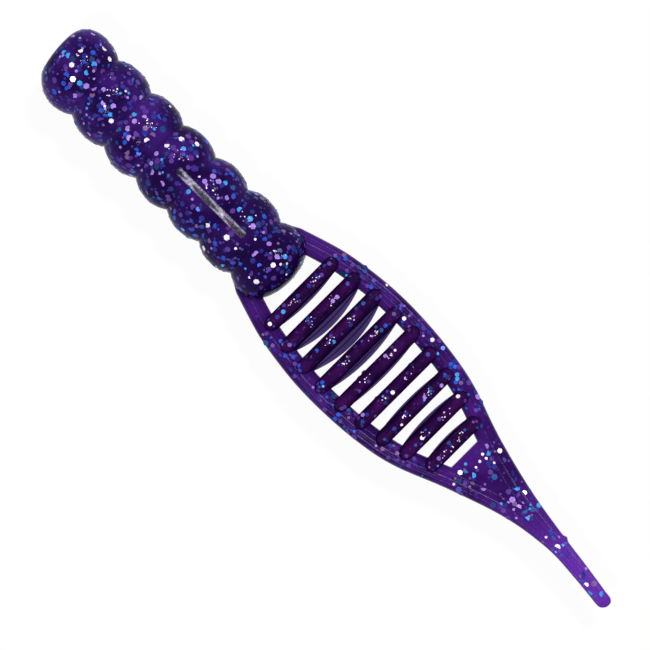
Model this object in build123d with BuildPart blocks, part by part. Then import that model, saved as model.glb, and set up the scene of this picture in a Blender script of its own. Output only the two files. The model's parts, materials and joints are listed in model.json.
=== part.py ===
from build123d import *
from math import cos, radians, sin, sqrt
import os

# Soft plastic worm, in millimetres. +X runs from the flat nose face to the tail tip,
# +Z is the side with the hook groove, and the origin is the centre of the nose face.
# The lure is one soft moulding. It is divided where it necks down and bends: the beads
# and leaf sections keep their shape, and the soft links between them give.

# ---- Beads ----
bead_count = 7
bead_diameter = 5.5
valley_diameter = 4.6        # at the bottom of the V between two beads
bead_pitch = 2.91
nose_bead_length = 3.34
nose_face_diameter = 2.6
last_bead_dome = 1.65        # from the widest place of the last bead to its rear end
neck_length = 0.8            # soft length between two beads

# ---- Hook groove ----
groove_start = 11.0
groove_end = 17.1
groove_width = 0.55
groove_depth = 1.0

# ---- Outline of leaf and tail: (distance behind the last bead, half width, sideways bend) ----
# Distances behind the last bead start at the rear end of its dome.
rail_root = (-1.995, 2.93, 0.0)
rail_spread = (1.705, 3.98, 0.0)
leaf_widest = (6.505, 4.43, 0.0)
leaf_shoulder = (12.105, 3.87, 0.0)
plate_middle = (16.705, 2.28, 0.12)
tail_start = (20.505, 1.18, 0.27)
tail_waist = (23.805, 0.66, 0.24)
tail_bend = (26.005, 0.56, 0.05)
tail_end = (29.005, 0.48, -0.32)

# ---- Leaf frame ----
rail_width = 1.47
rail_thickness = 1.4
rail_edge_radius = 0.45
leaf_link_length = 0.4       # soft length of the rails at each leaf flex
first_slat = 1.105           # behind the last bead
slat_pitch = 1.7
slat_width = 0.96
slat_crown_height = 0.6      # crown of a slat above the rails
slat_crown_radius = 0.36
slat_seat = 0.78             # length of a slat's end that lies over its rail
slat_bed = 0.3               # how far a slat's end wraps down over the rail's edge
keel_width = 0.6
keel_depth = 1.6             # drop of the deepest keel below the rails
keel_leans = (13, 18, 17, 12, 10, 0, -12, -16, -17)  # degrees each keel leans to the tail

# ---- Tail ----
plate_start = 15.705         # behind the last bead
tail_links = (18.605, 22.305, 25.605)  # middles of the soft links, behind the last bead
tail_thickness = 0.95
tail_link_length = 0.5
tail_tip_round = 0.45

# ---- Glitter flakes ----
large_flake = 0.4
small_flake = 0.2
flake_thickness = 0.05
flake_depth = 0.3            # depth of the shallowest flakes under the surface
flake_layer = 0.28           # step down to the next layer
flakes_per_bead = 16
golden_angle = 137.508

# ---- Places that follow from the sizes above ----
bead_radius = bead_diameter / 2
valley_radius = valley_diameter / 2
valley_drop = bead_radius - valley_radius
bead_arc = ((bead_pitch / 2) ** 2 + valley_drop ** 2) / (2 * valley_drop)
valleys = [nose_bead_length + bead_pitch * i for i in range(bead_count - 1)]
last_bead_middle = valleys[-1] + bead_pitch / 2
last_bead_end = last_bead_middle + last_bead_dome
groove_floor = bead_radius - groove_depth
stations = (rail_root, rail_spread, leaf_widest, leaf_shoulder, plate_middle,
            tail_start, tail_waist, tail_bend, tail_end)
outline = [(last_bead_end + behind, half, side) for behind, half, side in stations]
slat_count = len(keel_leans)
slats = [last_bead_end + first_slat + slat_pitch * i for i in range(slat_count)]
slats_in_front = slat_count // 3
slats_in_middle = 2 * slat_count // 3
leaf_links = [(last_bead_end + slats[0] - slat_width / 2) / 2,
              slats[slats_in_front] - slat_pitch / 2,
              slats[slats_in_middle] - slat_pitch / 2]
plate_front = last_bead_end + plate_start
tail_flexes = [last_bead_end + link for link in tail_links]
leaf_front, tail_rear = outline[0][0], outline[-1][0]
thin_from = last_bead_end + tail_waist[0]

os.makedirs("parts", exist_ok=True)


def bead_surface(x, middle):
    """Radius of a bead's round surface at x, for a bead whose widest place is at middle."""
    return bead_radius - bead_arc + sqrt(bead_arc ** 2 - (x - middle) ** 2)


def smooth(x, column):
    """A smooth curve through one column of the outline, read at x."""
    last = len(outline) - 1
    i = max(j for j in range(last) if j == 0 or outline[j][0] <= x)
    slopes = []
    for j in (i, i + 1):
        before, after = outline[max(j - 1, 0)], outline[min(j + 1, last)]
        slopes.append((after[column] - before[column]) / (after[0] - before[0]))
    (x0, y0), (x1, y1) = [(outline[j][0], outline[j][column]) for j in (i, i + 1)]
    t = (x - x0) / (x1 - x0)
    start, end = y0 * (1 + 2 * t) * (1 - t) ** 2, y1 * t * t * (3 - 2 * t)
    bends = (x1 - x0) * (slopes[0] * t * (1 - t) ** 2 - slopes[1] * t * t * (1 - t))
    return start + end + bends


def half_width(x):
    return smooth(x, 1)


def sideways(x):
    return smooth(x, 2)


def spaced(start, end, count):
    """Evenly spaced places from start to end."""
    return [start + (end - start) * i / (count - 1) for i in range(count)]


def save(part, name):
    part.label = name
    export_step(part, f"parts/{name}.step")


with BuildPart() as groove:
    with BuildSketch(Plane(((groove_start + groove_end) / 2, 0, groove_floor))):
        SlotOverall(groove_end - groove_start, groove_width)
    extrude(amount=bead_radius)


def touches_groove(start, end):
    return start < groove_end and end > groove_start


# ---- Beads and necks ----
def bead_profile(number):
    """Half outline of one bead, from the axis out and back to the axis."""
    half_neck = neck_length / 2
    middle = valleys[number - 1] - bead_pitch / 2 if number < bead_count else last_bead_middle
    back = valleys[number - 1] - half_neck if number < bead_count else last_bead_end
    front = valleys[number - 2] + half_neck if number > 1 else 0
    top = (middle, bead_radius)
    shoulder = bead_surface(middle + bead_pitch / 2 - half_neck, middle)
    if number == 1:
        nose = nose_face_diameter / 2
        Line((0, 0), (0, nose))
        EllipticalCenterArc((middle, nose), middle, bead_radius - nose, 90)
    else:
        between = (front + middle) / 2
        Line((front, 0), (front, shoulder))
        ThreePointArc((front, shoulder), (between, bead_surface(between, middle)), top)
    if number == bead_count:
        EllipticalCenterArc((middle, 0), last_bead_dome, bead_radius, 0)
    else:
        between = (middle + back) / 2
        ThreePointArc(top, (between, bead_surface(between, middle)), (back, shoulder))
        Line((back, shoulder), (back, 0))
    Line((back, 0), (front, 0))
    return front, back


def make_bead(number):
    with BuildPart() as bead:
        with BuildSketch(Plane.XY):
            with BuildLine():
                front, back = bead_profile(number)
            make_face()
        revolve(axis=Axis.X)
        if touches_groove(front, back):
            add(groove.part, mode=Mode.SUBTRACT)
    return bead.part


def make_neck(number):
    """The soft neck after bead number, with the V that the two beads make."""
    valley = valleys[number - 1]
    half_neck = neck_length / 2
    with BuildPart() as neck:
        with BuildSketch(Plane.XY):
            with BuildLine():
                rims = []
                for side in (-1, 1):
                    middle = valley + side * bead_pitch / 2
                    rim, between = valley + side * half_neck, valley + side * half_neck / 2
                    rims.append((rim, bead_surface(rim, middle)))
                    ThreePointArc(rims[-1], (between, bead_surface(between, middle)),
                                  (valley, valley_radius))
                    Line((rim, 0), rims[-1])
                Line((rims[0][0], 0), (rims[1][0], 0))
            make_face()
        revolve(axis=Axis.X)
        if touches_groove(valley - half_neck, valley + half_neck):
            add(groove.part, mode=Mode.SUBTRACT)
    return neck.part


bead_names = ["nose_bead"] + [f"bead_{i}" for i in range(2, bead_count + 1)]
beads = {name: make_bead(i) for i, name in enumerate(bead_names, 1)}
for name, part in beads.items():
    save(part, name)
for i in range(1, bead_count):
    save(make_neck(i), f"neck_{i}")


# ---- Rails of the leaf ----
def make_rail(side, start, end):
    """One length of rail, on the left (side 1) or the right (side -1) of the leaf."""
    with BuildPart() as rail:
        for x in spaced(start, end, 5):
            across = sideways(x) + side * (half_width(x) - rail_width / 2)
            with BuildSketch(Plane.YZ.offset(x)):
                with Locations((across, 0)):
                    RectangleRounded(rail_width, rail_thickness, rail_edge_radius)
        loft()
    return rail.part


half_link = leaf_link_length / 2
rail_spans = {
    "root": (leaf_front, leaf_links[0] - half_link),
    "front": (leaf_links[0] + half_link, leaf_links[1] - half_link),
    "middle": (leaf_links[1] + half_link, leaf_links[2] - half_link),
    "rear": (leaf_links[2] + half_link, plate_front),
}
sides = {"left": 1, "right": -1}
rails = {(side, place): make_rail(sign, *span)
         for place, span in rail_spans.items() for side, sign in sides.items()}
for (side, place), rail in rails.items():
    if place == "root":
        with BuildPart() as root:
            add(rail)
            add(beads[bead_names[-1]], mode=Mode.SUBTRACT)
        rail = root.part
    save(rail, f"{side}_rail_{place}")

for i, link in enumerate(leaf_links, 1):
    with BuildPart() as flex:
        for sign in sides.values():
            add(make_rail(sign, link - half_link, link + half_link))
    save(flex.part, f"rail_flex_{i}")


# ---- Slats ----
def make_slat(number, place):
    """A crosswise slat: a rounded crown over both rails and a keel that hangs between them."""
    x = slats[number - 1]
    inside = half_width(x) - rail_width
    rail_top = rail_thickness / 2
    lean = radians(keel_leans[number - 1])
    fullness = inside / (leaf_widest[1] - rail_width)
    drop = rail_thickness + slat_bed + keel_depth * fullness ** 4
    level = rail_top - slat_bed
    across = Plane((x, sideways(x), rail_top), x_dir=(0, 1, 0), z_dir=(cos(lean), 0, sin(lean)))
    with BuildPart() as slat:
        with BuildSketch(Plane((x, sideways(x), level))):
            SlotOverall(2 * (inside + slat_seat), slat_width, rotation=90)
        extrude(amount=slat_bed + slat_crown_height)
        fillet(slat.edges().group_by(Axis.Z)[-1], slat_crown_radius)
        with BuildSketch(across):
            with BuildLine():
                Polyline((-inside, -rail_thickness), (-inside, 0), (inside, 0),
                         (inside, -rail_thickness))
                ThreePointArc((inside, -rail_thickness), (0, -drop), (-inside, -rail_thickness))
            make_face()
        extrude(amount=keel_width / 2, both=True)
        for side in sides:
            add(rails[side, place], mode=Mode.SUBTRACT)
    return slat.part


for i in range(1, slat_count + 1):
    place = "front" if i <= slats_in_front else "middle" if i <= slats_in_middle else "rear"
    save(make_slat(i, place), f"slat_{i}")


# ---- Tail ----
def thickness_at(x):
    """Thickness of the tail, which thins from the rails to the waist of the tail."""
    share = min(1, (x - plate_front) / (thin_from - plate_front))
    return rail_thickness + (tail_thickness - rail_thickness) * share


def make_tail(start, end):
    with BuildPart() as tail:
        for x in spaced(start, end, 5):
            thick = thickness_at(x)
            edge = rail_edge_radius * thick / rail_thickness
            with BuildSketch(Plane.YZ.offset(x)):
                with Locations((sideways(x), 0)):
                    RectangleRounded(2 * half_width(x), thick, edge)
        loft()
        if end == tail_rear:
            fillet(tail.faces().sort_by(Axis.X)[-1].edges(), tail_tip_round * tail_thickness / 2)
    return tail.part


half_tail_link = tail_link_length / 2
tail_names = ["tail_plate", "tail_root", "tail_middle", "tail_tip"]
tail_starts = [plate_front] + [link + half_tail_link for link in tail_flexes]
tail_ends = [link - half_tail_link for link in tail_flexes] + [tail_rear]
for name, start, end in zip(tail_names, tail_starts, tail_ends):
    save(make_tail(start, end), name)
for i, link in enumerate(tail_flexes, 1):
    save(make_tail(link - half_tail_link, link + half_tail_link), f"tail_flex_{i}")


# ---- Glitter flakes: thin hexagons cast into the plastic ----
def scatter(spots, name):
    """Cuts a group of flakes from (plane, size) pairs and saves them as one node."""
    with BuildPart() as glitter:
        for size in (large_flake, small_flake):
            with BuildSketch(*[plane for plane, across in spots if across == size]):
                RegularPolygon(size / 2, 6)
            extrude(amount=flake_thickness)
    save(glitter.part, name)


def flake_size(i):
    return large_flake if i % 2 == 0 else small_flake


def bead_spots(middle):
    """Places on a golden-angle spiral round a bead, in three layers under its surface."""
    reach = bead_pitch / 2 - neck_length / 2 - large_flake / 2 - flake_thickness
    spots = []
    for i in range(flakes_per_bead):
        x = middle + reach * (2 * (i + 0.5) / flakes_per_bead - 1)
        around = radians(golden_angle * i)
        out = bead_surface(x, middle) - flake_depth - flake_layer * (i % 3)
        y, z = out * sin(around), out * cos(around)
        if touches_groove(x, x) and z > groove_floor - large_flake and abs(y) < groove_width + large_flake:
            continue
        plane = Plane((x, y, z), z_dir=(0, sin(around), cos(around)))
        spots.append((plane, flake_size(i)))
    return spots


for number, name in enumerate(bead_names, 1):
    middle = last_bead_middle if number == bead_count else valleys[number - 1] - bead_pitch / 2
    scatter(bead_spots(middle), f"{name}_glitter")


def flat_spots(start, end, across, count):
    """Places along a flat length, alternately above and below its middle plane."""
    margin = large_flake
    spots = []
    for i, x in enumerate(spaced(start + margin, end - margin, count)):
        height = (0.5 if i % 4 < 2 else -0.5) * (tail_thickness / 2 - flake_thickness)
        y = sideways(x) + across(x)
        spots.append((Plane((x, y, height), z_dir=(0, 0, 1)), flake_size(i)))
    return spots


for place in ("front", "middle", "rear"):
    spots = []
    for sign in sides.values():
        spots += flat_spots(*rail_spans[place], lambda x: sign * (half_width(x) - rail_width / 2), 8)
    scatter(spots, f"leaf_{place}_glitter")
scatter(flat_spots(tail_starts[0], tail_ends[0], lambda x: 0, 4), "tail_plate_glitter")
scatter(flat_spots(tail_starts[1], tail_ends[1], lambda x: 0, 6), "tail_root_glitter")
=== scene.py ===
import json
import math
import random
import bmesh
import bpy
from mathutils import Matrix, Vector, noise
from mathutils.bvhtree import BVHTree

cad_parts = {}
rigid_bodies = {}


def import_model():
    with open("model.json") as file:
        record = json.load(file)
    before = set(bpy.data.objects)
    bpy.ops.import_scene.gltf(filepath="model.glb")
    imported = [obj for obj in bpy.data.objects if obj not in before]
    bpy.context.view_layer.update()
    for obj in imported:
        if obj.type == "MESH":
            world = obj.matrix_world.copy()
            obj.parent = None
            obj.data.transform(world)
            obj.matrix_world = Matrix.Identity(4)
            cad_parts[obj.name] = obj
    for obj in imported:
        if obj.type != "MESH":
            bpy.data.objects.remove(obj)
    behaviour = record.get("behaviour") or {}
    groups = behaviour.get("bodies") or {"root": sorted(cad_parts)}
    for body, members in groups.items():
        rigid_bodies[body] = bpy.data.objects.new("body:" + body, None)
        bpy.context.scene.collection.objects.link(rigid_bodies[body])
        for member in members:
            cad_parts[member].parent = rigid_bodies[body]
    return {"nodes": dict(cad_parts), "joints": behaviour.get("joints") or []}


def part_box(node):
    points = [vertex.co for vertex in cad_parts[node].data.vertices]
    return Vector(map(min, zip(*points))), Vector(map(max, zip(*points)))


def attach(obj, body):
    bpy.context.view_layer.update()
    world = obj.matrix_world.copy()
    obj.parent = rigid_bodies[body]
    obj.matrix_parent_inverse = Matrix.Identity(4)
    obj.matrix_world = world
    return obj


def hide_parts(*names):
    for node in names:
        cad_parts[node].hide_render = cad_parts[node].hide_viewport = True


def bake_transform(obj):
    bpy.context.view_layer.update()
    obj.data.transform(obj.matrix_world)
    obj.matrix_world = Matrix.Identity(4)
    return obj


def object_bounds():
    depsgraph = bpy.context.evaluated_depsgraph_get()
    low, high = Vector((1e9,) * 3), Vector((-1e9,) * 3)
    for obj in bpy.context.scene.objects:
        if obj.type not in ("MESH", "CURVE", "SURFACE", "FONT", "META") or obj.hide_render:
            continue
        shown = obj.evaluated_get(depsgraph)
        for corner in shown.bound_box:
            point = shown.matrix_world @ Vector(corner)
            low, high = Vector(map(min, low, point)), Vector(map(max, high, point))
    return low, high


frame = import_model()
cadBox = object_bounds()
mm = 0.001
random.seed(11)
print("frame loaded:", len(frame["nodes"]), "nodes")


class Wire:  # one shader output, where sums on it add Math nodes
    def __init__(self, bench, made, socket):
        self.bench, self.made, self.socket = bench, made, socket

    def out(self, name):
        return Wire(self.bench, self.made, self.made.outputs[name])

    def calc(self, operation, first, second=0.0):
        return self.bench.node("ShaderNodeMath", {"operation": operation}, {0: first, 1: second})

    def __add__(self, other):
        return self.calc("ADD", self, other)

    def __sub__(self, other):
        return self.calc("SUBTRACT", self, other)

    def __rsub__(self, other):
        return self.calc("SUBTRACT", other, self)

    def __mul__(self, other):
        return self.calc("MULTIPLY", self, other)

    def __gt__(self, other):
        return self.calc("GREATER_THAN", self, other)

    def __lt__(self, other):
        return self.calc("LESS_THAN", self, other)

    __radd__ = __add__
    __rmul__ = __mul__


class Bench:  # one material or world, and the nodes on it
    def __init__(self, owner):
        self.owner = owner
        owner.use_nodes = True
        self.tree = owner.node_tree
        self.tree.nodes.clear()

    def node(self, kind, settings, inputs, output=0):
        made = self.tree.nodes.new(kind)
        for key, value in settings.items():
            if key == "stops":
                ramp = made.color_ramp
                for i, (place, colour) in enumerate(value):
                    stop = ramp.elements[i] if i < 2 else ramp.elements.new(place)
                    stop.position, stop.color = place, (*colour, 1)
            elif key == "steps":
                made.color_ramp.interpolation = value
            else:
                setattr(made, key, value)
        for key, value in inputs.items():
            if isinstance(value, Wire):
                self.tree.links.new(value.socket, made.inputs[key])
            else:
                made.inputs[key].default_value = value
        return Wire(self, made, made.outputs[output] if len(made.outputs) else None)

    def place(self):  # where a point is, in millimetres
        spot = self.node("ShaderNodeTexCoord", {}, {}, "Object")
        return self.node("ShaderNodeVectorMath", {"operation": "SCALE"}, {0: spot, "Scale": 1 / mm})

    def mix(self, share, low, high):  # colours
        low = low if isinstance(low, Wire) else (*low, 1)
        high = high if isinstance(high, Wire) else (*high, 1)
        return self.node("ShaderNodeMix", {"data_type": "RGBA"}, {0: share, 6: low, 7: high}, 2)

    def soft(self, value, low, high):  # smooth step from 0 at low to 1 at high
        return self.node("ShaderNodeMapRange", {"interpolation_type": "SMOOTHSTEP"},
                         {"Value": value, "From Min": low, "From Max": high})

    def noise(self, where, scale, detail=2.0, rough=0.5):
        return self.node("ShaderNodeTexNoise", {}, {"Vector": where, "Scale": scale,
                                                    "Detail": detail, "Roughness": rough})

    def cells(self, where, scale):
        return self.node("ShaderNodeTexVoronoi", {}, {"Vector": where, "Scale": scale})

    def bump(self, height, strength, distance):
        return self.node("ShaderNodeBump", {}, {"Height": height, "Strength": strength,
                                                "Distance": distance * mm})

    def along(self, where, axis):  # one coordinate of a point
        return self.node("ShaderNodeSeparateXYZ", {}, {"Vector": where}, axis)

    def finish(self, inputs):
        skin = self.node("ShaderNodeBsdfPrincipled", {}, inputs)
        self.node("ShaderNodeOutputMaterial", {}, {"Surface": skin})
        return self.owner


deepFlakes = [  # colours of flakes seen dimly through the plastic, and none between them
    (0.00, (0.07, 0.02, 0.28)), (0.16, (0.02, 0.03, 0.26)), (0.30, (0.11, 0.03, 0.28)),
    (0.44, (0.01, 0.06, 0.22)), (0.56, (0.16, 0.07, 0.32)), (0.68, (0.02, 0.01, 0.12))]


def plastic(name, look):
    bench = Bench(bpy.data.materials.new(name))
    where = bench.place()
    cloud = bench.noise(where, look["cloudScale"], 3.0)
    body = bench.mix(bench.soft(cloud, 0.35, 0.68), look["dark"], look["light"])
    if "tail" in look:  # painted light: thin plastic lets more of the pale ground through, so the colour is painted brighter there
        body = bench.mix(bench.soft(bench.along(where, "X"), *look["tailSpan"]), body, look["tail"])
    if "deeper" in look:  # the colour deepens from one x to another
        body = bench.mix(bench.soft(bench.along(where, "X"), *look["deeperSpan"]), body, look["deeper"])
    if "shadedEdge" in look:  # painted shade, dark along both long sides
        across = bench.along(where, "Y")
        away = across.calc("ABSOLUTE", across)
        body = bench.mix(bench.soft(away, *look["shadedEdge"]), body, look["edge"])
    for scale, size, strength in look["deep"]:
        cell = bench.cells(where, scale)
        tint = bench.node("ShaderNodeValToRGB", {"stops": deepFlakes, "steps": "CONSTANT"},
                          {"Fac": cell.out("Color")})
        chosen = bench.node("ShaderNodeSeparateColor", {}, {"Color": cell.out("Color")}, "Green")
        near = 1 - bench.soft(cell, size * 0.6, size)
        body = bench.mix(near * (chosen < look["share"]) * strength, body, tint)
    grain = bench.noise(where, look["grainScale"], 4.0, 0.6)
    rough = bench.soft(grain, 0.2, 0.8) * look["roughSpread"] + look["rough"]
    return bench.finish({
        "Base Color": body, "Roughness": rough, "IOR": 1.46,
        "Specular IOR Level": look["shine"],
        "Emission Color": (*look.get("glow", (0, 0, 0)), 1),  # painted glow: emission that stands in for light coming through thin walls
        "Emission Strength": 1.0,
        "Normal": bench.bump(grain, look["bump"], look["bumpDepth"])})


def meshFrom(name, points, faces, materials, creases=40):  # points in millimetres
    mesh = bpy.data.meshes.new(name)
    mesh.from_pydata([tuple(c * mm for c in p) for p in points], [], faces)
    outward = bmesh.new()
    outward.from_mesh(mesh)
    bmesh.ops.recalc_face_normals(outward, faces=outward.faces)
    outward.to_mesh(mesh)
    outward.free()
    for material in materials:
        mesh.materials.append(material)
    piece = bpy.data.objects.new(name, mesh)
    bpy.context.scene.collection.objects.link(piece)
    mesh.shade_smooth()
    mesh.set_sharp_from_angle(angle=math.radians(creases))
    return piece


def tube(rings, points, faces):  # adds one closed tube through the rings to points and faces
    first, count = len(points), len(rings[0])
    for ring in rings:
        points.extend(ring)
    for i in range(len(rings) - 1):
        for j in range(count):
            a, b = first + i * count + j, first + i * count + (j + 1) % count
            faces.append((a, b, b + count, a + count))
    faces.append(tuple(first + j for j in reversed(range(count))))
    last = first + (len(rings) - 1) * count
    faces.append(tuple(last + j for j in range(count)))


def curveThrough(knots, values, x):  # a smooth curve through evenly spaced knots
    step = knots[1] - knots[0]
    t = (x - knots[0]) / step
    if t <= 0:
        return values[0] + (values[1] - values[0]) * t
    i = min(int(t), len(knots) - 2)
    t -= i
    a, b = values[max(i - 1, 0)], values[i]
    c, d = values[i + 1], values[min(i + 2, len(values) - 1)]
    return b + 0.5 * t * (c - a + t * (2 * a - 5 * b + 4 * c - d + t * (3 * (b - c) + d - a)))


def ease(t):
    t = max(0.0, min(1.0, t))
    return t * t * (3 - 2 * t)


def boxOf(node):
    low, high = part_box(node)
    return low / mm, high / mm


def feel(nodes):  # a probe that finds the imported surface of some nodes
    points, faces = [], []
    for node in nodes:
        mesh = frame["nodes"][node].data
        first = len(points)
        points.extend(v.co / mm for v in mesh.vertices)
        faces.extend([first + i for i in p.vertices] for p in mesh.polygons)
    return BVHTree.FromPolygons(points, faces)


leafNodes = [n for n in frame["nodes"] if ("rail" in n or n.startswith("tail")) and "glitter" not in n]
leafSurface = feel(leafNodes)
pivots = {j["name"]: Vector(j["pos_m"]) / mm for j in frame["joints"]}
beadNames = ["nose_bead"] + [f"bead_{i}" for i in range(2, 8)]
valleys = [pivots[f"neck_{i}_nod"].x for i in range(1, 7)]
pitch = valleys[1] - valleys[0]
beadRadius = boxOf("bead_2")[1].z
beadEnd = boxOf("bead_7")[1].x
tipX = boxOf("tail_tip")[1].x
outlineKnots = {"start": 19.1, "beforeTip": 0.6, "count": 44}  # where the leaf's edge is measured
edgeSpan = tipX - outlineKnots["beforeTip"] - outlineKnots["start"]
edgeKnots = [outlineKnots["start"] + edgeSpan * i / (outlineKnots["count"] - 1)
             for i in range(outlineKnots["count"])]


def probe(x, side):
    hit = leafSurface.ray_cast(Vector((x, 20.0 * side, 0)), Vector((0, -side, 0)))[0]
    return hit.y


edges = {side: [probe(x, side) for x in edgeKnots] for side in (1, -1)}
flash = {"x": 45.05, "reach": 0.17, "height": 0.13}  # a nub of flash on the left of the tail


def edge(x, side):
    if x < edgeKnots[0]:  # the rail runs into the last bead
        return edges[side][0] - side * 0.6 * (edgeKnots[0] - x)
    nub = flash["height"] * math.exp(-((x - flash["x"]) / flash["reach"]) ** 2) if side > 0 else 0
    return curveThrough(edgeKnots, edges[side], x) + nub


inner = leafSurface.ray_cast(Vector((boxOf("left_rail_middle")[0].x + 1, 0, 0)), Vector((0, 1, 0)))[0]
railWidth = edge(inner.x, 1) - inner.y
print("measured: bead radius %.2f, pitch %.2f, rail %.2f" % (beadRadius, pitch, railWidth))


bead = {"segments": 72, "rings": 40, "wobble": 0.025, "valleyRadius": 2.3, "noseFace": 1.3,
        "slant": 0.09, "slantEnd": 19.0}
beadLook = {
    "dark": (0.011, 0.0018, 0.048), "light": (0.040, 0.009, 0.150), "cloudScale": 0.5,
    "deep": [(1.3, 0.34, 0.8), (1.7, 0.30, 0.7), (2.9, 0.26, 0.9)], "share": 0.5,
    "deeper": (0.009, 0.0009, 0.040), "deeperSpan": (5.0, 24.0), "grainScale": 3.4,
    "rough": 0.04, "roughSpread": 0.05, "shine": 0.03, "bump": 0.4, "bumpDepth": 0.06}
groove = {"start": 11.0, "end": 17.1, "halfWidth": 0.275, "floor": 1.75, "lip": 0.62, "dip": 0.14,
          "arcSteps": 12, "overNeck": 0.012}
# painted reflection: the groove bed's pale silver colour stands in for the lamps' reflection on its rough
# floor, and its dark long sides are painted shade
grooveLook = {
    "dark": (0.34, 0.27, 0.62), "light": (1.0, 0.95, 1.0), "cloudScale": 5.5, "deep": [],
    "edge": (0.01, 0.004, 0.03), "shadedEdge": (0.19, 0.25), "grainScale": 6.0,
    "rough": 0.15, "roughSpread": 0.3, "shine": 0.8, "bump": 1.0, "bumpDepth": 0.12}
neck = {"reach": 0.75, "sunk": 0.04, "taper": 0.9}
beadPlastic = plastic("beadPlastic", beadLook)
reflectionAndShadeBed = plastic("grooveBedPaintedReflectionAndShade", grooveLook)
valleyDrop = beadRadius - bead["valleyRadius"]
beadArc = ((pitch / 2) ** 2 + valleyDrop ** 2) / (2 * valleyDrop)
arcCentre = beadRadius - beadArc


def beadMiddle(number):
    return valleys[number - 1] - pitch / 2 if number < 7 else valleys[5] + pitch / 2


def beadProfile(number):  # (x, radius) from the front pole to the back pole
    middle = beadMiddle(number)
    reach = math.acos(-arcCentre / beadArc)
    half = bead["rings"] // 2
    front = [(middle - beadArc * math.sin(reach * (1 - i / half)),
              arcCentre + beadArc * math.cos(reach * (1 - i / half))) for i in range(half)]
    back = [(middle + beadArc * math.sin(reach * i / half),
             arcCentre + beadArc * math.cos(reach * i / half)) for i in range(half + 1)]
    if number == 1:
        face = bead["noseFace"]
        front = [(0, face * t) for t in (0, 0.4, 0.7, 0.9)]
        front += [(middle * (1 - math.cos(a)), face + (beadRadius - face) * math.sin(a))
                  for a in (math.pi / 2 * i / 20 for i in range(20))]
    if number == 7:
        back = [(middle + (beadEnd - middle) * math.sin(a), beadRadius * math.cos(a))
                for a in (math.pi / 2 * i / half for i in range(half + 1))]
    return front + back


def spun(name, profile, materials):
    points, faces = [], []
    count = bead["segments"]
    rings = [(x, r) for x, r in profile if r > 1e-4]
    for x, r in rings:
        for j in range(count):
            a = 2 * math.pi * j / count
            points.append((x, r * math.sin(a), r * math.cos(a)))
    for i in range(len(rings) - 1):
        for j in range(count):
            a, b = i * count + j, i * count + (j + 1) % count
            faces.append((b, a, a + count, b + count))
    for ring, pole, flip in ((0, profile[0][0], False), (len(rings) - 1, profile[-1][0], True)):
        points.append((pole, 0, 0))
        for j in range(count):
            a, b = ring * count + j, ring * count + (j + 1) % count
            faces.append((a, b, len(points) - 1) if not flip else (b, a, len(points) - 1))
    soft = []
    for p in points:  # a soft moulding is never quite true
        push = noise.noise(Vector(p) * 0.5) * bead["wobble"]
        out = Vector((0, p[1], p[2]))
        p = Vector(p) + (out.normalized() * push if out.length > 1e-6 else Vector())
        p = dipped(p)
        p.x -= p.y * bead["slant"] * max(0, 1 - p.x / bead["slantEnd"])  # valleys lie a little askew
        soft.append(tuple(p))
    return meshFrom(name, soft, faces, materials, 60)


def dipped(p):  # rounds the lips of the hook groove
    inside = ease((p.x - groove["start"] + 0.35) / 0.5) * ease((groove["end"] + 0.35 - p.x) / 0.5)
    share = 1 - ease(abs(p.y) / groove["lip"])
    if p.z > 0:
        p.z -= groove["dip"] * share * inside
    return p


def grooveCutter(floor):
    half, start, end = groove["halfWidth"], groove["start"], groove["end"]
    turns = [math.pi * i / groove["arcSteps"] for i in range(groove["arcSteps"] + 1)]
    outline = [(start + half - half * math.sin(a), half * math.cos(a)) for a in turns]
    outline += [(end - half + half * math.sin(a), -half * math.cos(a)) for a in turns]
    points, faces = [], []
    rings = [[(x, y, z) for x, y in outline] for z in (floor, beadRadius + 1)]
    tube(rings, points, faces)
    return meshFrom("grooveCutter", points, faces, [beadPlastic])


def cutGroove(piece, cutter):
    cut = piece.modifiers.new("groove", "BOOLEAN")
    cut.operation, cut.solver, cut.object = "DIFFERENCE", "EXACT", cutter
    graph = bpy.context.evaluated_depsgraph_get()
    mesh = bpy.data.meshes.new_from_object(piece.evaluated_get(graph))
    piece.modifiers.clear()
    piece.data = mesh
    mesh.materials.append(reflectionAndShadeBed)
    for polygon in mesh.polygons:
        x, y, z = polygon.center / mm
        bedded = abs(z - groove["floor"]) < 0.02 and abs(y) < groove["halfWidth"]
        polygon.material_index = len(mesh.materials) - 1 if bedded else 0
    mesh.set_sharp_from_angle(angle=math.radians(40))


cutter = grooveCutter(groove["floor"])
neckCutter = grooveCutter(groove["floor"] + groove["overNeck"])  # no two beds at one height
for number, name in enumerate(beadNames, 1):
    piece = spun(name + "_skin", beadProfile(number), [beadPlastic])
    if 4 <= number <= 6:
        cutGroove(piece, cutter)
    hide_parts(name)
    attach(piece, name)
for number in range(1, 7):  # the soft neck lies just under the valley and shows as it opens
    waist = bead["valleyRadius"] - neck["sunk"]
    profile = [(valleys[number - 1] + neck["reach"] * t, waist - neck["taper"] * abs(t) ** 3)
               for t in (i / 8 - 1 for i in range(17))]
    profile = [(profile[0][0], 0)] + profile + [(profile[-1][0], 0)]
    piece = spun(f"neck_{number}_core", profile, [beadPlastic])
    if 4 <= number <= 5:
        cutGroove(piece, neckCutter)
    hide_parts(f"neck_{number}")
    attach(piece, f"neck_{number}")
bpy.data.objects.remove(cutter)
bpy.data.objects.remove(neckCutter)
print("beads and necks made")

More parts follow.
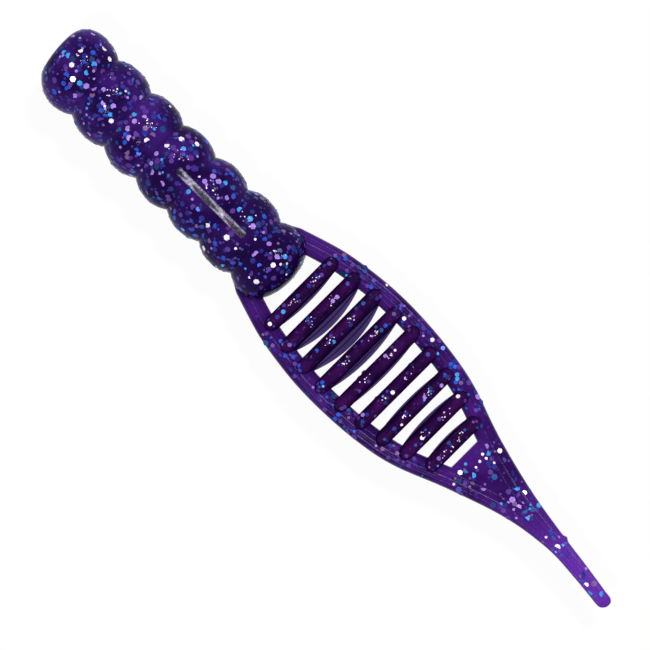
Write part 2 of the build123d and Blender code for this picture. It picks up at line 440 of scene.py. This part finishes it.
railTop = [  # (how far in from the edge, height) over the top of a rail, with its two fine ridges
    (0.00, 0.05), (0.03, 0.24), (0.10, 0.42), (0.20, 0.54), (0.34, 0.60), (0.46, 0.605),
    (0.545, 0.585), (0.575, 0.605), (0.595, 0.62), (0.615, 0.605), (0.65, 0.575), (0.80, 0.58),
    (0.93, 0.58), (1.01, 0.57), (1.035, 0.585), (1.05, 0.60), (1.065, 0.585), (1.10, 0.56)]
railInside = [(1.22, 0.51), (1.34, 0.42), (1.43, 0.27), (1.47, 0.08), (1.47, -0.1), (1.43, -0.32),
              (1.33, -0.50), (1.16, -0.62)]
railUnder = [(0.75, -0.66), (0.40, -0.64), (0.16, -0.50), (0.04, -0.27)]
rail = {"spacing": 0.2, "start": 18.2, "plateStart": 36.7, "overlap": 0.35, "sunk": 0.03,
        "profileWidth": 1.47, "bend": 0.7}
tail = {"thin": 0.70, "thinFrom": 38, "thinOver": 7, "fadeOver": 5, "ridgeFoot": 0.58,
        "ridgesIn": (0.5, 1.09), "flat": 0.56, "flatFrom": 1.16, "under": -0.66, "fullHalf": 1.4,
        "tipRound": 0.5, "plateEnd": 41.6, "middleEnd": 45.0}
railLook = {
    "dark": (0.021, 0.002, 0.075), "light": (0.048, 0.007, 0.150), "cloudScale": 0.5,
    # painted light: the tail colour is brighter where thin plastic lets the pale ground through
    "tail": (0.110, 0.022, 0.33), "tailSpan": (39.5, 48.0),
    "deep": [(1.5, 0.28, 0.5), (2.2, 0.24, 0.5)], "share": 0.4, "grainScale": 3.0,
    "rough": 0.14, "roughSpread": 0.1, "shine": 0.05, "bump": 0.35, "bumpDepth": 0.05}
railPlastic = plastic("railPlastic", railLook)


def thinning(x):  # the tail is thinner than the rails
    return 1 - (1 - tail["thin"]) * ease((x - tail["thinFrom"]) / tail["thinOver"])


def places(start, end):  # even steps along the lure
    count = max(2, round((end - start) / rail["spacing"]))
    return [start + (end - start) * i / count for i in range(count + 1)]


def railRing(x, side):
    sunk = rail["sunk"] if x > rail["plateStart"] else 0  # its end lies inside the plate
    outer = edge(x, side) - side * sunk
    widen = railWidth / rail["profileWidth"]
    ring = [(x, outer - side * s * widen, z * (1 - 2 * sunk)) for s, z in railTop + railInside + railUnder]
    return ring if side < 0 else ring[::-1]


def tailRing(x):
    left, right = edge(x, 1), edge(x, -1)
    half, middle = (left - right) / 2, (left + right) / 2
    squeeze = min(1, half / tail["fullHalf"])
    faint = 1 - 0.5 * ease((x - tail["thinFrom"]) / tail["fadeOver"])  # the ridges fade along the tail
    foot, (ridgesFrom, ridgesTo) = tail["ridgeFoot"], tail["ridgesIn"]
    tops = [(s, foot + (z - foot) * faint if ridgesFrom < s < ridgesTo else z) for s, z in railTop]
    thin = thinning(x)
    if x > tipX - tail["tipRound"]:  # rounded tip
        closing = math.sqrt(max(0.0004, 1 - ((x - tipX) / tail["tipRound"] + 1) ** 2))
        half, thin = half * closing, thin * closing
        squeeze = half / tail["fullHalf"]
    flat = half - tail["flatFrom"] * squeeze
    top = [(middle + half - s * squeeze, z * thin) for s, z in tops]
    top += [(middle + flat * t, tail["flat"] * thin) for t in (1, 0.9, 0.5, 0, -0.5, -0.9, -1)]
    top += [(middle - half + s * squeeze, z * thin) for s, z in reversed(tops)]
    under = [(middle - half + s * squeeze, z * thin) for s, z in reversed(railUnder)]
    under += [(middle, tail["under"] * thin)]
    under += [(middle + half - s * squeeze, z * thin) for s, z in railUnder]
    return [(x, y, z) for y, z in reversed(top + under)]


crownX = {}  # where the top of each slat lies along the leaf
for number in range(1, 10):
    low, high = boxOf(f"slat_{number}")
    mesh = frame["nodes"][f"slat_{number}"].data
    tops = [v.co.x / mm for v in mesh.vertices if v.co.z / mm > high.z - 0.02]
    crownX[number] = (min(tops) + max(tops)) / 2


def bendAt(piece, first, second, x, reach):  # bakes the piece's placement into its mesh
    (x - reach) * mm
    (x + reach) * mm
    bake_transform(piece)


railSpans = [  # name, start, end, joint, bodies, replaced nodes
    ("rail_front", rail["start"], crownX[2], "leaf_root_flap", ("bead_7", "leaf_front"), ("root", 1)),
    ("rail_middle", crownX[2], crownX[5], "leaf_waist_flap", ("leaf_front", "leaf_middle"),
     ("front", 2)),
    ("rail_rear", crownX[5], crownX[8], "leaf_rear_flap", ("leaf_middle", "leaf_rear"),
     ("middle", 3))]
for label, start, end, joint, bodies, (place, flex) in railSpans:
    for side, word in ((1, "left"), (-1, "right")):
        points, faces = [], []
        tube([railRing(x, side) for x in places(start, end)], points, faces)
        piece = meshFrom(f"{word}_{label}", points, faces, [railPlastic], 50)
        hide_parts(f"{word}_rail_{place}")
        if side > 0:
            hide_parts(f"rail_flex_{flex}")
        bendAt(piece, *bodies, pivots[joint].x, rail["bend"])

tailCuts = [crownX[8], tail["plateEnd"], pivots["tail_middle_flap"].x, tail["middleEnd"],
            pivots["tail_tip_flap"].x, tipX]
tailSpans = [  # name, bodies, joint, length of the bend, replaced nodes
    ("tail_plate", ("leaf_rear", "tail_root"), "tail_root_flap", 0.9,
     ("left_rail_rear", "right_rail_rear", "tail_plate", "tail_flex_1")),
    ("tail_root", ("tail_root", "tail_flex_2"), None, 0.7, ("tail_root",)),
    ("tail_middle_front", ("tail_flex_2", "tail_middle"), None, 0.7, ("tail_flex_2", "tail_middle")),
    ("tail_middle_rear", ("tail_middle", "tail_flex_3"), None, 0.6, ("tail_flex_3",)),
    ("tail_tip", ("tail_flex_3", "tail_tip"), None, 0.6, ("tail_tip",))]
for i, (label, bodies, joint, reach, nodes) in enumerate(tailSpans):
    start, end = tailCuts[i], tailCuts[i + 1]
    points, faces = [], []
    if i == 0:
        for side in (1, -1):
            xs = places(start, rail["plateStart"] + rail["overlap"])
            tube([railRing(x, side) for x in xs], points, faces)
        start = rail["plateStart"]
    xs = places(start, end)
    if start < flash["x"] + 0.5 and end > flash["x"] - 0.5:  # finer rings over the flash
        xs = sorted(xs + [(a + b) / 2 for a, b in zip(xs, xs[1:])])
    if i == len(tailSpans) - 1:
        xs = [x for x in xs if x < tipX - tail["tipRound"]]
        xs += [tipX - tail["tipRound"] * (1 - math.sin(math.pi / 2 * t / 9)) for t in range(10)]
    tube([tailRing(x) for x in xs], points, faces)
    piece = meshFrom(f"{label}_skin", points, faces, [railPlastic], 50)
    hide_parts(*nodes)
    if joint:
        bendAt(piece, *bodies, pivots[joint].x, reach)
    elif bodies[1].startswith("tail_flex"):
        (end - reach) * mm
        end * mm
        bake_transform(piece)
    else:
        start * mm
        (start + reach) * mm
        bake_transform(piece)
print("rails and tail made")


slat = {"halfWidth": 0.48, "crownLow": 0.42, "railTop": 0.62, "keelHalf": 0.3, "rings": 56,
        "web": 0.30, "parting": 0.55, "notch": 0.05, "flop": 1.45, "arch": 0.3, "bed": -0.5,
        "shallowest": -0.35, "thinnest": 0.04, "leanOver": 0.3, "pastRail": 0.12}
crownLook = {
    "dark": (0.014, 0.0006, 0.036), "light": (0.034, 0.0016, 0.066), "cloudScale": 0.8,
    "deep": [(2.0, 0.24, 0.6)], "share": 0.35, "grainScale": 3.2,
    "rough": 0.05, "roughSpread": 0.08, "shine": 0.04, "bump": 0.8, "bumpDepth": 0.14}
# the fins' lavender is their plastic's colour lifted with painted light, and their glow is painted light
# standing in for light coming through the thin fins
keelLook = {
    "dark": (0.095, 0.055, 0.235), "light": (0.140, 0.090, 0.310), "cloudScale": 0.5,
    "glow": (0.034, 0.022, 0.066), "deep": [(1.8, 0.2, 0.3)], "share": 0.2, "grainScale": 3.0,
    "rough": 0.8, "roughSpread": 0.1, "shine": 0.0, "bump": 0.0, "bumpDepth": 0.02}
# painted shade: dark under the slat crowns and in the parting-line notch
paintedShadeLook = dict(keelLook, dark=(0.010, 0.002, 0.040), light=(0.018, 0.005, 0.060), glow=(0, 0, 0))
crownPlastic = plastic("slatCrownPlastic", crownLook)
keelPlastic = plastic("slatKeelPlastic", keelLook)
paintedShadePlastic = plastic("slatPaintedShadePlastic", paintedShadeLook)


def slatSection(width, top, bottom):  # half outline from the top middle down
    half = [(width * math.sin(a), slat["crownLow"] + (top - slat["crownLow"]) * math.cos(a) ** 0.8)
            for a in (math.pi / 2 * i / 8 for i in range(9))]
    keel = min(slat["keelHalf"], width * 0.7)
    half[-1] = (width, slat["crownLow"])
    low = slat["crownLow"] - slat["web"]
    half += [(width * 0.97, slat["crownLow"] - 0.10), (keel + 0.05, slat["crownLow"] - 0.20), (keel, low)]
    split = low + (bottom - low) * (1 - slat["parting"])
    half += [(keel, split + 0.10), (keel - slat["notch"], split + 0.03),
             (keel + slat["notch"] * 0.6, split - 0.02), (keel - 0.01, split - 0.08)]
    half += [(keel, bottom + 0.12), (keel * 0.92, bottom + 0.03), (keel * 0.6, bottom)]
    return half


def makeSlat(number):
    node = f"slat_{number}"
    low, high = boxOf(node)
    x = crownX[number]
    mesh = frame["nodes"][node].data
    bottoms = [v.co / mm for v in mesh.vertices if v.co.z / mm < low.z + 0.02]
    lowX = sum(v.x for v in bottoms) / len(bottoms)
    lean = math.atan2(lowX - x, slat["railTop"] - low.z) * slat["flop"]
    middle, length = (low.y + high.y) / 2, (high.y - low.y) / 2
    inside = (edge(x, 1) - edge(x, -1)) / 2 - railWidth
    points, faces, rings = [], [], []
    for i in range(slat["rings"] + 1):
        t = math.sin(math.pi / 2 * (2 * i / slat["rings"] - 1))
        y = length * t
        toEnd = length - abs(y)
        cap = math.sqrt(max(0.0, 1 - max(0.0, 1 - toEnd / slat["halfWidth"]) ** 2))
        width = slat["halfWidth"] * max(cap, slat["thinnest"])
        rise = high.z - slat["crownLow"] - slat["arch"] * (y / length) ** 2
        top = slat["crownLow"] + rise * max(cap, slat["thinnest"]) ** 0.7
        share = max(0.0, 1 - (y / (inside + slat["pastRail"])) ** 2)
        bottom = min(slat["shallowest"], slat["bed"] + (low.z - slat["bed"]) * share)
        section = slatSection(width, top, bottom)
        ring = section + [(-w, z) for w, z in reversed(section[1:])]
        placed = []
        for w, z in ring:
            drop = z - slat["railTop"]
            turn = lean * ease(-drop / slat["leanOver"])  # the crown stays square and the keel leans
            placed.append((x + w - math.sin(turn) * drop, middle + y,
                           slat["railTop"] + math.cos(turn) * drop))
        rings.append(placed)
    tube(rings, points, faces)
    piece = meshFrom(node + "_skin", points, faces, [crownPlastic, paintedShadePlastic, keelPlastic], 55)
    count = len(rings[0])
    crownEnd, shadedSteps = 5, (5, 6, 7, 8, 12, 13, 14)  # counted in section points from the top
    for polygon in piece.data.polygons:  # painted shade: dark under the crown and in the notch at the parting line
        steps = {min(v % count, count - v % count) for v in polygon.vertices}
        place = min(steps) if max(steps) - min(steps) <= 1 else count
        polygon.material_index = 0 if place < crownEnd else 1 if place in shadedSteps else 2
    return piece


leafBodies = ("leaf_front", "leaf_middle", "leaf_rear")
slatBodies = {number: leafBodies[(number - 1) // 3] for number in range(1, 10)}
for number in range(1, 10):
    piece = makeSlat(number)
    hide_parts(f"slat_{number}")
    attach(piece, slatBodies[number])
print("slats made")


flake = {"large": 0.20, "small": 0.105, "thickness": 0.03, "proud": 0.008, "tilt": 0.13,
         "perBead": 230, "largeShare": 0.55, "margin": 0.1, "crownHeight": 0.64, "crownMost": 0.15,
         "overSlats": 0.35, "flatEnough": 0.6, "lowest": -0.75, "hingeGap": 0.45}
# painted highlights: silver specks in the rows where the lamps' highlights fall
glint = {"perSlat": 14, "perBead": 9, "radius": (0.025, 0.055), "rows": (1.15, -0.9), "beadRow": 0.75,
         "spread": 0.24, "slatSpread": 0.13, "beadSpread": 0.35}
foilColours = {  # colour, how often it comes facing up, and how often elsewhere; bright foils come facing up more often, a painted highlight where the lamps catch them
    "royalBlue": ((0.02, 0.09, 0.62), 12, 16),
    "brightCyan": ((0.05, 0.36, 0.90), 9, 3),
    "lilac": ((0.42, 0.24, 0.78), 16, 6),
    "silver": ((0.95, 0.92, 1.0), 8, 2),
    "teal": ((0.02, 0.10, 0.34), 5, 4),
    "mauve": ((0.20, 0.10, 0.28), 6, 6),
    "sunkenBlue": ((0.02, 0.03, 0.27), 14, 26),
    "sunkenViolet": ((0.10, 0.04, 0.30), 16, 22),
    "sunkenTeal": ((0.01, 0.04, 0.16), 4, 4),
    "green": ((0.10, 0.30, 0.12), 0.3, 0.3)}


def foil(name, colour):
    bench = Bench(bpy.data.materials.new(name + "Foil"))
    where = bench.place()
    shade = bench.soft(bench.noise(where, 5.0, 2.0), 0.3, 0.7)
    darker = tuple(c * 0.7 for c in colour)
    return bench.finish({
        "Base Color": bench.mix(shade, darker, colour), "Metallic": 0.1, "Roughness": 0.3,
        "Specular IOR Level": 0.12})


foils = [foil(name, colour) for name, (colour, facing, elsewhere) in foilColours.items()]
facingOdds = [facing for colour, facing, elsewhere in foilColours.values()]
otherOdds = [elsewhere for colour, facing, elsewhere in foilColours.values()]
print("foils made:", len(foils))


def addFlake(points, faces, colours, spot, normal, radius, colour, tilt):
    side = normal.orthogonal().normalized()
    spin = Matrix.Rotation(random.uniform(0, math.pi), 3, normal)
    side = spin @ side
    lean = Matrix.Rotation(random.gauss(0, tilt), 3, side)
    normal = lean @ normal
    across = normal.cross(side)
    first = len(points)
    for drop in (0, -flake["thickness"]):
        for k in range(6):
            a = math.pi / 3 * k
            p = spot + side * radius * math.cos(a) + across * radius * math.sin(a)
            points.append(tuple(p + normal * (flake["proud"] + drop)))
    faces.append(tuple(first + k for k in range(6)))
    faces.append(tuple(first + 6 + k for k in reversed(range(6))))
    for k in range(6):
        n = (k + 1) % 6
        faces.append((first + k, first + 6 + k, first + 6 + n, first + n))
    colours.extend([colour] * 8)


def flakeKind(spot, normal):
    radius = flake["large"] if random.random() < flake["largeShare"] else flake["small"]
    # painted highlight: spots facing up near the middle get the bright foils more often
    facing = normal.z > 0.75 and abs(spot.y) < random.uniform(0.6, 2.2)
    colour = random.choices(range(len(foils)), facingOdds if facing else otherOdds)[0]
    return radius * random.uniform(0.8, 1.05), colour


def scatterOn(surface, name, node, body, tries, aims, keep):
    points, faces, colours = [], [], []
    taken = []
    for _ in range(tries):
        start, toward = aims()
        spot, normal, *rest = surface.ray_cast(start, toward)
        if spot is None or not keep(spot, normal):
            continue
        radius, colour = flakeKind(spot, normal)
        if spot.z > flake["crownHeight"] and spot.x > beadEnd:  # small ones on the narrow slat crowns
            radius = min(radius, flake["crownMost"])
        if any((spot - other).length < (radius + gap) * 0.75 for other, gap in taken):
            continue
        taken.append((spot, radius))
        addFlake(points, faces, colours, spot, normal, radius, colour, flake["tilt"])
    piece = meshFrom(name, points, faces, foils, 20)
    piece.data.polygons.foreach_set("material_index", colours)
    if node:
        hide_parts(node)
    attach(piece, body)
    return len(taken)


def surfaceOf(*names):
    points, faces = [], []
    for name in names:
        mesh = bpy.data.objects[name].data
        first = len(points)
        points.extend(v.co / mm for v in mesh.vertices)
        faces.extend([first + i for i in p.vertices] for p in mesh.polygons)
    return BVHTree.FromPolygons(points, faces)


def beadAims(front, back):  # from all round at the axis
    def aims():
        x = random.uniform(front + flake["margin"], back - flake["margin"])
        a = random.uniform(0, 2 * math.pi)
        out = Vector((0, math.sin(a), math.cos(a)))
        return Vector((x, 0, 0)) + out * 6, -out
    return aims


def clearOfGroove(spot, normal):
    beside = abs(spot.y) > groove["halfWidth"] + 0.2 or spot.z < 0
    return beside or not groove["start"] - 0.3 < spot.x < groove["end"] + 0.3


total = 0
for number, name in enumerate(beadNames, 1):
    front = 0.0 if number == 1 else valleys[number - 2]
    back = valleys[number - 1] if number < 7 else beadEnd
    total += scatterOn(surfaceOf(name + "_skin"), name + "_flakes", name + "_glitter", name,
                       flake["perBead"], beadAims(front, back), clearOfGroove)


def leafAims(start, end, tailward):  # straight down or up at the leaf
    def aims():
        x = random.uniform(start, end)
        up = random.choice((1, -1))
        low, high = edge(x, -1), edge(x, 1)
        if tailward and x > rail["plateStart"]:
            y = random.uniform(low + 0.06, high - 0.06)
        elif random.random() < flake["overSlats"]:
            y = random.uniform(low + railWidth, high - railWidth)
        else:
            s = random.uniform(0.08, railWidth - 0.1)
            y = random.choice((high - s, low + s))
        return Vector((x, y, 5 * up)), Vector((0, 0, -up))
    return aims


def clearOf(*hinges):  # no stiff flake lies over a bend
    def keep(spot, normal):
        if abs(normal.z) <= flake["flatEnough"] or spot.z <= flake["lowest"]:
            return False
        return all(abs(spot.x - hinge) > flake["hingeGap"] for hinge in hinges)
    return keep


def railSkins(*parts):
    return [f"{side}_rail_{part}" for part in parts for side in ("left", "right")]


def slatSkins(first, last):
    return [f"slat_{number}_skin" for number in range(first, last + 1)]


bends = {name: pivot.x for name, pivot in pivots.items()}
leafGroups = [  # flakes, replaced node, body, start, end, skins they lie on, tries
    ("leaf_front_flakes", "leaf_front_glitter", "leaf_front", bends["leaf_root_flap"],
     bends["leaf_waist_flap"], railSkins("front", "middle") + slatSkins(1, 3), 330),
    ("leaf_middle_flakes", "leaf_middle_glitter", "leaf_middle", bends["leaf_waist_flap"],
     bends["leaf_rear_flap"], railSkins("middle", "rear") + slatSkins(4, 6), 330),
    ("leaf_rear_flakes", "leaf_rear_glitter", "leaf_rear", bends["leaf_rear_flap"],
     rail["plateStart"], railSkins("rear") + ["tail_plate_skin"] + slatSkins(7, 9), 330),
    ("tail_plate_flakes", "tail_plate_glitter", "leaf_rear", rail["plateStart"],
     bends["tail_root_flap"], ["tail_plate_skin"], 170),
    ("tail_root_flakes", "tail_root_glitter", "tail_root", bends["tail_root_flap"],
     bends["tail_middle_flap"] - 0.3, ["tail_plate_skin", "tail_root_skin"], 150),
    ("tail_middle_flakes", None, "tail_middle", 43.6, 46.4,
     ["tail_middle_front_skin", "tail_middle_rear_skin"], 60),
    ("tail_tip_flakes", None, "tail_tip", 46.8, tipX - 0.1, ["tail_tip_skin"], 60)]
silver = list(foilColours).index("silver")


def addGlints(name, host, body, count, middleX, spreadX, rows):  # silver specks as painted highlights, where the lamps' light breaks on the surface
    points, faces, colours = [], [], []
    surface = surfaceOf(host)
    for i in range(count):
        x = random.gauss(middleX, spreadX)
        y = random.gauss(rows[i % len(rows)], glint["spread"])
        spot, normal, *rest = surface.ray_cast(Vector((x, y, 6)), Vector((0, 0, -1)))
        if spot is not None and normal.z > 0.7:
            addFlake(points, faces, colours, spot, normal, random.uniform(*glint["radius"]), silver, 0.3)
    piece = meshFrom(name, points, faces, foils, 20)
    piece.data.polygons.foreach_set("material_index", colours)
    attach(piece, body)


for number in range(1, 10):
    shrink = 1 if number < 9 else 0.6
    addGlints(f"slat_{number}_glints", f"slat_{number}_skin", slatBodies[number], glint["perSlat"],
              crownX[number], glint["slatSpread"], [row * shrink for row in glint["rows"]])
for number, name in enumerate(beadNames, 1):
    addGlints(name + "_glints", name + "_skin", name, glint["perBead"], beadMiddle(number),
              glint["beadSpread"], [glint["beadRow"]])
for name, node, body, start, end, hosts, tries in leafGroups:
    total += scatterOn(surfaceOf(*hosts), name, node, body, tries,
                       leafAims(start, end, "tail" in name), clearOf(start, end))
print("flakes made:", total)


stage = {"floorSize": 2.0, "shadowKeep": 0.055, "worldLight": 0.26}


def isSeen(bench):  # 1 for rays that show the ground white, 0 for rays that light the lure
    path = bench.node("ShaderNodeLightPath", {}, {}, "Is Camera Ray")
    seen = path + path.out("Is Glossy Ray") + path.out("Is Transmission Ray")
    return seen.calc("MINIMUM", seen, 1.0)


def floorMaterial():
    bench = Bench(bpy.data.materials.new("paleFloor"))
    plain = bench.node("ShaderNodeBsdfDiffuse", {}, {"Color": (0.9, 0.9, 0.9, 1)})
    glow = bench.node("ShaderNodeEmission", {}, {"Color": (1, 1, 1, 1), "Strength": 1.0})
    share = isSeen(bench) * (1 - stage["shadowKeep"])  # the rest shows the soft shadow
    both = bench.node("ShaderNodeMixShader", {}, {0: share, 1: plain, 2: glow})
    bench.node("ShaderNodeOutputMaterial", {}, {"Surface": both})
    return bench.owner


def studioWorld():  # white when seen, softer as a light
    bench = Bench(bpy.data.worlds.new("studio"))
    level = isSeen(bench) * (1 - stage["worldLight"]) + stage["worldLight"]
    sky = bench.node("ShaderNodeBackground", {}, {"Color": (1, 1, 1, 1), "Strength": level})
    bench.node("ShaderNodeOutputWorld", {}, {"Surface": sky})
    return bench.owner


half = stage["floorSize"] / 2 / mm
floorZ = cadBox[0].z / mm - 0.02
floor = meshFrom("floor", [(-half, -half, floorZ), (half, -half, floorZ), (half, half, floorZ),
                           (-half, half, floorZ)], [(0, 1, 2, 3)], [floorMaterial()])

bpy.context.scene.world = studioWorld()


def softLamp(name, spot, aim, size, power):
    lamp = bpy.data.lights.new(name, "AREA")
    lamp.shape, lamp.size, lamp.energy = "DISK", size, power
    holder = bpy.data.objects.new(name, lamp)
    bpy.context.scene.collection.objects.link(holder)
    holder.location = spot
    holder.rotation_euler = (Vector(aim) - Vector(spot)).to_track_quat("-Z", "Y").to_euler()


centre = (0.0245, -0.0004, 0)
softLamp("keyLamp", (0.00, 0.17, 0.30), centre, 0.04, 0.78)
softLamp("fillLamp", (0.06, -0.13, 0.30), centre, 0.04, 0.50)

view = {"aim": (0.02455, -0.00036, 0.0), "above": 0.0306, "distance": 0.19, "width": 0.04163}
camera = bpy.data.cameras.new("camera")
cameraHolder = bpy.data.objects.new("camera", camera)
bpy.context.scene.collection.objects.link(cameraHolder)
aim = Vector(view["aim"])
eye = Vector((view["above"], aim.y, math.sqrt(view["distance"] ** 2 - (view["above"] - aim.x) ** 2)))
back = (eye - aim).normalized()
up = Vector((-1, 1, 0)).normalized()  # the worm lies nose up and tail down, at 45 degrees
right = up.cross(back).normalized()
up = back.cross(right)
turn = Matrix((right, up, back)).transposed()
cameraHolder.matrix_world = Matrix.Translation(eye) @ turn.to_4x4()
camera.sensor_width = 36
camera.lens = camera.sensor_width * view["distance"] / view["width"]
camera.clip_start = 0.001
bpy.context.scene.camera = cameraHolder
bpy.context.scene.view_settings.view_transform = "Standard"
print("stage set")
